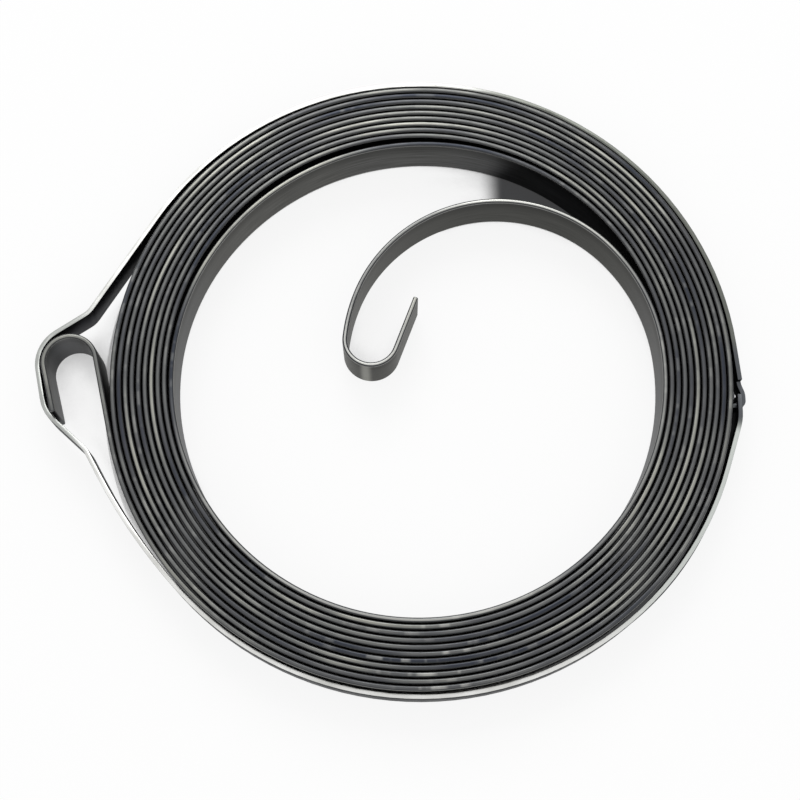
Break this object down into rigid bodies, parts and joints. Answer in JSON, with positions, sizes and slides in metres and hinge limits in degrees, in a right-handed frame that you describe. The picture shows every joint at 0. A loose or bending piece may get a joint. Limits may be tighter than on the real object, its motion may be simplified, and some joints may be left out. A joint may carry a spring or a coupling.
{
  "type": "recoil starter spring",
  "caption": "Flat spiral spring of dark steel strip with a hook at each end, held wound by a thin steel band closed round the coil.",
  "frame": {"origin": "on the axis of the coil, at the plane of its lower edges", "axes": "+Z along the coil axis, up from the surface it lies on; the outer hook is on the -X side"},
  "size_m": [0.0705, 0.0634, 0.0053],
  "materials": {
    "spring_steel": "dark rolled strip with lighter slit edges",
    "band_steel": "thin bright strip"
  },
  "bodies": {
    "root": {"starter_spring": "spring_steel", "retaining_band": "band_steel"}
  },
  "joints": []
}
